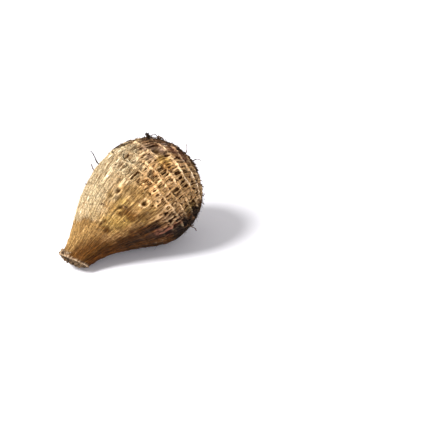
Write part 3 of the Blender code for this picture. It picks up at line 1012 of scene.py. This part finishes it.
def skin_finish():
    """Dry skin: streaked along the corm, mottled with soil, darker and rougher in its hollows, where the
    dark is partly the skin's own brown and partly painted shade.
    """
    finish = Finish("taro_skin", 0.82)
    straight = finish.field("straight", "Vector")
    along = finish.stretched(straight, (1.0, 1.0, 0.10))
    streaks = finish.noise(along, 760.0, 2.0, 0.6)
    threads = finish.noise(along, 640.0, 2.0, 0.5)
    mottle = finish.noise(straight, 420.0, 3.0, 0.6)
    clouds = finish.noise(straight, 90.0, 3.0, 0.6)
    slots = finish.noise(finish.stretched(straight, (1.0, 1.0, 0.36)), 640.0, 1.5, 0.5)
    tone = finish.field("tone", "Color")
    hollow = finish.field("hollow")
    ribbed = finish.field("ribbed")
    darker = finish.mix(1.0, tone, (0.44, 0.32, 0.21), "MULTIPLY")
    lighter = finish.mix(1.0, tone, (1.34, 1.35, 1.40), "MULTIPLY")
    # floor darkens the pits and slots, partly their own brown and partly painted shade
    floor = finish.mix(1.0, tone, (0.16, 0.09, 0.03), "MULTIPLY")
    shade = finish.mix(finish.contrast(streaks, 0.38, 0.52), darker, tone)
    shade = finish.mix(finish.contrast(threads, 0.51, 0.62), shade, lighter)
    shade = finish.mix(finish.contrast(threads, 0.45, 0.34) * 0.85, shade, darker)
    shade = finish.mix(finish.contrast(slots, 0.52, 0.61) * (ribbed * 0.93 + 0.07), shade, lighter)
    shade = finish.mix(finish.contrast(slots, 0.44, 0.34) * (ribbed * 0.93 + 0.07), shade, floor)
    shade = finish.mix(finish.contrast(hollow + (slots - 0.5) * -1.0, 0.22, 0.41), shade, floor)
    shade = finish.mix(finish.contrast(hollow, 0.20, 0.02) * ribbed * 0.5, shade, lighter)
    soil = finish.contrast(mottle * 0.7 + clouds * 0.5, 0.66, 0.84)
    shade = finish.mix(soil * 0.2, shade, SOIL)
    finish.set("Base Color", shade)
    finish.set("Roughness", 0.74 + hollow * 0.16 + streaks * 0.12)
    finish.bump(streaks * 0.6 + threads * 0.8 + mottle * 0.2 + slots * ribbed * 1.0, 0.00055, 0.8)
    return finish.material


def fibre_finish():
    """Dry fibre, in the tone of the skin that it lies on."""
    finish = Finish("taro_fibre", 0.78)
    flecks = finish.noise(finish.node("ShaderNodeTexCoord", output="Object"), 700.0, 2.0, 0.6)
    flecks = finish.contrast(flecks, 0.62, 0.38) * 0.5
    tone = finish.field("tone", "Color")
    finish.set("Base Color", finish.mix(flecks, tone, FLECK))
    return finish.material


def tubes(name, paths, radii, sides, tones, material):
    """One mesh of thin tubes along paths in (tube, knot, 3), with a radius and a tone at each knot."""
    paths = paths.copy()
    paths[..., 2] = np.maximum(paths[..., 2], radii + FLOOR_GAP)
    count, knots, _ = paths.shape
    along = unit(np.gradient(paths, axis=1) + 1e-12)
    across = np.zeros_like(along)
    across[:, 0] = unit(np.cross(along[:, 0], (0.31, 0.52, 0.79)) + 1e-9)
    for knot in range(1, knots):
        carried = across[:, knot - 1]
        carried = carried - along[:, knot] * (carried * along[:, knot]).sum(-1, keepdims=True)
        across[:, knot] = unit(carried + 1e-12)
    third = np.cross(along, across)
    turn = np.arange(sides) * TURN / sides
    spokes = across[:, :, None] * np.cos(turn)[:, None] + third[:, :, None] * np.sin(turn)[:, None]
    points = paths[:, :, None] + spokes * radii[:, :, None, None]
    base = (np.arange(count) * knots * sides)[:, None, None]
    ring = (np.arange(knots - 1) * sides)[None, :, None]
    side = np.arange(sides)[None, None, :]
    start = base + ring + side
    beside = base + ring + (side + 1) % sides
    quads = np.stack([start, beside, beside + sides, start + sides], -1).reshape(-1, 4).tolist()
    root_caps = (base[:, 0] + np.arange(sides)[::-1][None, :]).tolist()
    tip_caps = (base[:, 0] + (knots - 1) * sides + np.arange(sides)[None, :]).tolist()
    colours = opaque(np.repeat(np.clip(tones, 0.0, 1.0).reshape(-1, 3), sides, axis=0))
    faces = quads + root_caps + tip_caps
    return mesh_object(name, points.reshape(-1, 3), faces, {"tone": colours}, material)


def knot_shares(knots):
    """How far along a strand each of its knots is, as one row."""
    return np.linspace(0.0, 1.0, knots)[None, :]


def thinned(share, by, power):
    """How thick a strand is along its length, thinner by a share at both ends."""
    return 1.0 - by * np.abs(2.0 * share - 1.0) ** power


def clear_of_scars(stations, angles):
    """Which strands keep off the open root scars."""
    clear = np.ones(len(stations), bool)
    for at_station, degrees, size, _, _ in ROOT_SCARS:
        along, across = metres_apart(stations, angles, at_station, degrees)
        clear &= np.hypot(along, across).min(1) > 1.25 * size
    return clear


def strands(name, stations, angles, heights, radii, brightness, material, sides=3, on_relief=0.0):
    """Tubes that follow the skin at these places, raised by heights, in the skin's own tones."""
    places = (np.clip(stations, *STRAND_STATIONS), angles, heights, radii, brightness)
    places = np.broadcast_arrays(*places)
    grooved = soft_patch(*places[:2], *GROOVED).mean(1) > 0.35
    clear = clear_of_scars(*places[:2]) & ~grooved
    stations, angles, heights, radii, brightness = (values[clear] for values in places)
    lift = heights + on_relief * survey(stations, angles)["lift"] if on_relief else heights
    base, out = body_point(stations, angles)
    fade = smooth(base[..., 2] / GROUND_FADE)
    paths = base + out * (lift * (0.15 + 0.85 * fade))[..., None]
    tones = zones(stations, angles, np.clip(brightness, 0.0, 1.0))[0]
    brighter = np.clip(brightness, 1.0, 1.0 / tones.max(-1))
    return tubes(name, paths, radii, sides, tones * brighter[..., None] * FIBRE_TINT, material)


def wavy(draw, count, share, size, slow=2.0, quick=7.0):
    """Gentle waves along each strand, each with its own pace and start."""
    pace = draw.uniform(slow, quick, (count, 1))
    return size * np.sin(share * pace + draw.uniform(0.0, TURN, (count, 1)))


def flank_fibres(material):
    """Long dry fibres along the flank and neck, a few of them peeling off at their ends."""
    draw = np.random.default_rng(FLANK_SEED)
    share = knot_shares(15)
    each = (FLANK_FIBRES, 1)
    start = draw.uniform(0.02, 1.05, each)
    stations = start + draw.uniform(0.12, 0.36, each) * share
    on_flank = draw.random(each) < 0.75
    side = np.where(on_flank, draw.normal(95.0, 42.0, each), draw.uniform(*ALL_ROUND, each))
    angles = np.radians(side) + draw.normal(0.0, 0.03, each) * share
    angles = angles + wavy(draw, FLANK_FIBRES, share, 0.010)
    peel = np.where(draw.random(each) < 0.07, draw.uniform(0.0006, 0.0020, each), 0.0)
    heights = draw.uniform(0.00005, 0.00030, each) + peel * smooth(share * 2.0 - 1.0)
    radii = draw.uniform(0.00014, 0.00032, each) * between(1.0, 0.45, share)
    brightness = draw.uniform(0.1, 1.25, each)
    return strands("flank_fibres", stations, angles, heights, radii, brightness, material, on_relief=1.0)


def rib_fibres(material):
    """Fibres in small bundles on the ribs between the pits, from ring to ring."""
    draw = np.random.default_rng(RIB_SEED)
    around = PITS["count"][::2]
    ribbed_bands = range(FIRST_RIBBED_BAND, len(around) - 1)
    bands = np.concatenate([np.repeat(band, FIBRES_ON_A_RIB * around[band]) for band in ribbed_bands])
    cells = np.concatenate([np.repeat(np.arange(around[band]), FIBRES_ON_A_RIB) for band in ribbed_bands])
    counts = around[bands]
    shift = (PITS["shift"][2 * bands, cells] + PITS["shift"][2 * bands, (cells - 1) % counts]) / 2
    middle = (cells + shift) / counts * TURN
    lower = RING_EDGES[bands]
    breadth = RING_EDGES[bands + 1] - lower
    share = knot_shares(6)
    each = (len(bands), 1)
    first = draw.uniform(-0.08, 0.15, each)
    climb = between(first, draw.uniform(0.7, 1.0, each), share)
    stations = lower[:, None] + breadth[:, None] * climb
    aside = draw.normal(0.0, 0.11, each) / counts[:, None] * TURN
    angles = middle[:, None] + aside + wavy(draw, len(bands), share, 0.006)
    heights = 0.00045 + 0.0003 * np.sin(math.pi * share) + draw.uniform(-0.0002, 0.0004, each)
    radii = draw.uniform(0.00018, 0.00042, each) * np.array((0.6, 1.0, 1.0, 0.95, 0.8, 0.5))
    brightness = draw.uniform(0.5, 1.4, each)
    keep = ribbing(stations[:, 2], angles[:, 2]) > draw.random(len(bands)) * 0.9
    kept = (values[keep] for values in (stations, angles, heights, radii, brightness))
    return strands("rib_fibres", *kept, material)


def ring_bundles(material):
    """Fibres that run round the corm on its leaf-scar rings."""
    draw = np.random.default_rng(BUNDLE_SEED)
    share = knot_shares(9)
    each = (RING_BUNDLES, 1)
    rings = np.array(RINGS)[draw.integers(FIRST_RIBBED_BAND, len(RINGS), each)]
    stations = rings + wavy(draw, RING_BUNDLES, share, 0.006, 3.0, 9.0) + draw.normal(0.0, 0.010, each)
    stations = stations + draw.normal(0.0, 0.012, each) * share
    degrees = draw.uniform(*ALL_ROUND, each)
    angles = np.radians(degrees + draw.uniform(4.0, 15.0, each) * share)
    ends = np.abs(2.0 * share - 1.0)
    heights = 0.0009 + draw.uniform(-0.0004, 0.0004, each) - 0.0008 * ends**4
    radii = draw.uniform(0.00016, 0.00040, each) * thinned(share, 0.6, 4)
    brightness = draw.uniform(0.45, 1.40, each)
    keep = ribbing(stations[:, 4], angles[:, 4]) > draw.random(RING_BUNDLES) * 0.9
    kept = (values[keep] for values in (stations, angles, heights, radii, brightness))
    return strands("ring_bundles", *kept, material, sides=4)


def wisps(material):
    """Old dark rootlets matted flat on the skin, in loose bundles."""
    draw = np.random.default_rng(WISP_SEED)
    ends = np.repeat(np.array(WISPS), WISPS_IN_A_BUNDLE, axis=0)
    share = knot_shares(10)
    count, each = len(ends), (len(ends), 1)
    stations = between(ends[:, :1], ends[:, 2:3], share) + draw.normal(0.0, 0.016, each)
    stations = stations + wavy(draw, count, share, 0.010, 3.0, 12.0)
    degrees = between(ends[:, 1:2], ends[:, 3:4], share) + draw.normal(0.0, 1.8, each)
    angles = np.radians(degrees) + wavy(draw, count, share, 0.020, 3.0, 12.0)
    heights = draw.uniform(0.0005, 0.0013, each) + wavy(draw, count, share, 0.0005, 4.0, 12.0)
    radii = draw.uniform(0.00014, 0.00034, each) * thinned(share, 0.5, 3)
    base, out = body_point(stations, angles)
    paleness = draw.uniform(0.0, 0.8, each) ** 1.5
    tones = blend(ROOT_DARK * 0.6, ROOT_PALE, np.broadcast_to(paleness, radii.shape))
    return tubes("wisps", base + out * heights[..., None], radii, 4, tones, material)


def ring_fringe(material):
    """Frayed ends of old leaf bases, standing off the rings towards the crown."""
    draw = np.random.default_rng(FRINGE_SEED)
    share = knot_shares(4)
    each = (RING_FRINGE, 1)
    rings = np.array(RINGS)[draw.integers(FIRST_FRINGED_RING, len(RINGS), each)]
    stations = rings + draw.uniform(-0.012, 0.012, each) + draw.uniform(0.02, 0.055, each) * share
    angles = np.radians(draw.uniform(*ALL_ROUND, each)) + draw.normal(0.0, 0.03, each) * share
    heights = 0.0004 + draw.uniform(0.0001, 0.0014, each) * share**1.5
    radii = draw.uniform(0.00010, 0.00022, each) * np.array((1.0, 0.85, 0.6, 0.25))
    brightness = draw.uniform(0.2, 1.25, each)
    return strands("ring_fringe", stations, angles, heights, radii, brightness, material)


def clumps(material):
    """Tangled tufts of old rootlets, as kinked arches that start and end on the skin."""
    draw = np.random.default_rng(CLUMP_SEED)
    places = np.repeat(np.array(CLUMPS), [int(clump[4]) for clump in CLUMPS], axis=0)
    station, degrees, spread, height, _, thickness, rim_share = np.split(places, places.shape[1], axis=1)
    share = knot_shares(12)
    count, each = len(places), (len(places), 1)
    first = station + draw.normal(0.0, 0.35, each) * spread
    last = first + draw.normal(0.0, 0.9, each) * spread
    round_skin = CROWN_STATION / section(station)[2]
    first_turn = np.radians(degrees) + draw.normal(0.0, 0.35, each) * spread * round_skin
    last_turn = first_turn + draw.normal(0.0, 0.9, each) * spread * round_skin
    stations = between(first, last, share) + wavy(draw, count, share, 0.012, 4.0, 12.0)
    angles = between(first_turn, last_turn, share)
    angles = angles + wavy(draw, count, share, 0.011, 4.0, 12.0) * round_skin
    arch = np.sin(math.pi * share) ** 0.7 * draw.uniform(0.3, 1.2, each)
    heights = height * arch * (1.0 + 0.25 * draw.normal(0.0, 1.0, stations.shape))
    base, out = body_point(np.clip(stations, 0.0, 1.98), angles)
    radii = thickness * draw.uniform(0.00016, 0.00036, each) * thinned(share, 0.45, 3)
    paleness = draw.uniform(0.0, 1.0, each) ** (1.3 * thickness**2)
    tones = blend(ROOT_DARK * 0.6, MAT, np.broadcast_to(paleness, stations.shape))
    rim_share = rim_share * draw.uniform(0.5, 1.1, each)
    tones = blend(tones, RIM, np.broadcast_to(rim_share, stations.shape))
    return tubes("root_clumps", base + out * (heights + 0.0002)[..., None], radii, 4, tones, material)


def root_path(station, degrees, length, turn, way):
    """Points of a rootlet that leaves the skin straight and turns by turn degrees towards way."""
    start, out = skin_point(station, math.radians(degrees))
    axis = section(station)[1]
    sideways = unit(np.cross((0.0, 0.0, 1.0), axis))
    upwards = np.cross(axis, sideways)
    along = sideways * math.cos(math.radians(way)) + upwards * math.sin(math.radians(way))
    hinge = Vector(unit(np.cross(out, along + out * 0.3)))
    start, out = Vector(start), Vector(out)
    points = [start - out * ROOT_SUNK, start]
    for number in range(ROOT_STEPS):
        rise = Matrix.Rotation(math.radians(turn) * number / ROOT_STEPS, 3, hinge) @ out
        lean = hinge * math.sin(number * 0.9) * 0.25
        points.append(points[-1] + (rise + lean).normalized() * (length / ROOT_STEPS))
    return np.array(points)


def rootlet_paths():
    """The same rootlets as in the CAD."""
    draw = random.Random(SEED)
    paths = [root_path(*place) for place in PLACED_ROOTS]
    while len(paths) < len(PLACED_ROOTS) + LOOSE_ROOTS:
        station = RINGS[-1 - int(len(RINGS) * LOOSE_REACH * draw.random() ** 1.5)]
        length = between(*LOOSE_LENGTHS, draw.random())
        turn = between(*LOOSE_TURNS, draw.random())
        degrees = between(*LOOSE_ANGLES, draw.random())
        path = root_path(station, degrees, length, turn, draw.uniform(0.0, 360.0))
        if path[1:, 2].min() > ROOT_CLEARANCE:
            paths.append(path)
    return paths


def resampled(path, knots):
    """A smooth curve through the points of a path."""
    padded = np.concatenate([path[:1] * 2 - path[1:2], path, path[-1:] * 2 - path[-2:-1]])
    place = np.linspace(0.0, len(path) - 1.0, knots)
    leg = np.minimum(np.floor(place).astype(int), len(path) - 2)
    t = (place - leg)[:, None]
    a, b, c, d = (padded[leg + step] for step in range(4))
    curve = 2 * b + (c - a) * t + (2 * a - 5 * b + 4 * c - d) * t**2
    return 0.5 * (curve + (3 * b - a - 3 * c + d) * t**3)


def rootlets(material):
    """Wiry rootlets, over the CAD's, with a kink here and there."""
    draw = np.random.default_rng(ROOTLET_SEED)
    paths = np.array([resampled(path, ROOTLET_KNOTS) for path in rootlet_paths()])
    share = knot_shares(ROOTLET_KNOTS)
    kinks = np.cumsum(draw.normal(0.0, 0.00009, paths.shape), axis=1)
    paths = paths + kinks * smooth(share * 2 - 0.4)[..., None]
    radii = 0.5 * ROOT_THICK * between(1.0, 0.50, share) * draw.uniform(0.7, 1.05, (len(paths), 1))
    radii = radii * (1.0 + 0.14 * draw.normal(0.0, 1.0, radii.shape))
    paleness = draw.random((len(paths), 1)) ** 1.5
    tones = blend(ROOT_DARK * 0.6, ROOT_PALE, np.broadcast_to(paleness, radii.shape))
    return tubes("rootlets", paths, radii, 6, tones, material)


def root_hairs(material):
    """Fine curling hairs, mostly on the crown and on top."""
    draw = np.random.default_rng(HAIR_SEED)
    count, knots = ROOT_HAIRS, 8
    station = np.clip(draw.normal(1.42, 0.30, count), 0.45, 1.95)
    degrees = draw.uniform(-70.0, 230.0, count)
    start, out = body_point(station, np.radians(degrees), 0.0002)
    tangent = unit(np.cross(out, draw.normal(0.0, 1.0, (count, 3))))
    length = draw.uniform(0.0015, 0.006, count)
    bend = draw.uniform(0.4, 2.2, count)
    path = [start]
    for knot in range(1, knots):
        lean = bend * knot / knots
        step = out * np.cos(lean)[:, None] * 0.7 + tangent * np.sin(lean + 0.5)[:, None]
        step = unit(step + draw.normal(0.0, 0.16, (count, 3)))
        path.append(path[-1] + step * (length / knots)[:, None])
    paths = np.stack(path, 1)
    keep = paths[..., 2].min(1) > HAIR_CLEARANCE
    radii = draw.uniform(0.00008, 0.00019, (count, 1)) * between(1.0, 0.5, knot_shares(knots))
    tones = blend(ROOT_DARK, ROOT_PALE, np.broadcast_to(draw.random((count, 1)), radii.shape))
    return tubes("root_hairs", paths[keep], radii[keep], 3, tones[keep], material)


def floor_finish():
    finish = Finish("studio_floor", 0.9)
    finish.set("Base Color", FLOOR_COLOUR)
    finish.set("Emission Color", FLOOR_GLOW)
    finish.set("Emission Strength", FLOOR_GLOW_STRENGTH)
    return finish.material


def studio_floor():
    mesh = bpy.data.meshes.new("studio_floor")
    corners = [(x * FLOOR_REACH, y * FLOOR_REACH, 0.0) for x, y in ((-1, -1), (1, -1), (1, 1), (-1, 1))]
    mesh.from_pydata(corners, [], [(0, 1, 2, 3)])
    mesh.materials.append(floor_finish())
    floor = bpy.data.objects.new("studio_floor", mesh)
    bpy.context.scene.collection.objects.link(floor)


def area_light(name, direction, distance, size, power, colour):
    light = bpy.data.lights.new(name, "AREA")
    light.shape = "DISK"
    light.size = size
    light.energy = power
    light.color = colour
    lamp = bpy.data.objects.new(name, light)
    towards = Vector(direction).normalized()
    lamp.location = Vector(BELLY_CENTRE) + towards * distance
    lamp.rotation_euler = towards.to_track_quat("Z", "Y").to_euler()
    bpy.context.scene.collection.objects.link(lamp)


def studio_lights():
    for light in STUDIO_LIGHTS:
        area_light(*light)
    world = bpy.data.worlds.new("studio")
    bpy.context.scene.world = world
    world.use_nodes = True
    background = world.node_tree.nodes["Background"]
    background.inputs["Color"].default_value = WORLD_COLOUR
    background.inputs["Strength"].default_value = WORLD_STRENGTH
    bpy.context.scene.view_settings.view_transform = "Standard"


def photo_camera():
    data = bpy.data.cameras.new("photo_camera")
    data.lens = LENS
    data.sensor_width = SENSOR
    data.clip_start = 0.01
    camera = bpy.data.objects.new("photo_camera", data)
    turn, rise = math.radians(CAMERA_AZIMUTH), math.radians(CAMERA_ELEVATION)
    back = Vector((math.sin(turn) * math.cos(rise), -math.cos(turn) * math.cos(rise), math.sin(rise)))
    right = Vector((math.cos(turn), math.sin(turn), 0.0))
    up = back.cross(right)
    distance = LENS / SENSOR * PHOTO_SIDE * METRES_PER_PIXEL
    aside = (BELLY_AT[0] - PHOTO_SIDE / 2) * METRES_PER_PIXEL
    below = (BELLY_AT[1] - PHOTO_SIDE / 2) * METRES_PER_PIXEL
    place = Vector(BELLY_CENTRE) + back * distance - right * aside + up * below
    camera.matrix_world = Matrix.Translation(place) @ Matrix((right, up, back)).transposed().to_4x4()
    bpy.context.scene.collection.objects.link(camera)
    bpy.context.scene.camera = camera


def dress():
    corm = fine_skin(skin_finish())
    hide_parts(NODE)
    fibre = fibre_finish()
    flank_fibres(fibre)
    rib_fibres(fibre)
    ring_bundles(fibre)
    ring_fringe(fibre)
    wisps(fibre)
    clumps(fibre)
    rootlets(fibre)
    root_hairs(fibre)


photo_camera()
dress()
studio_floor()
studio_lights()
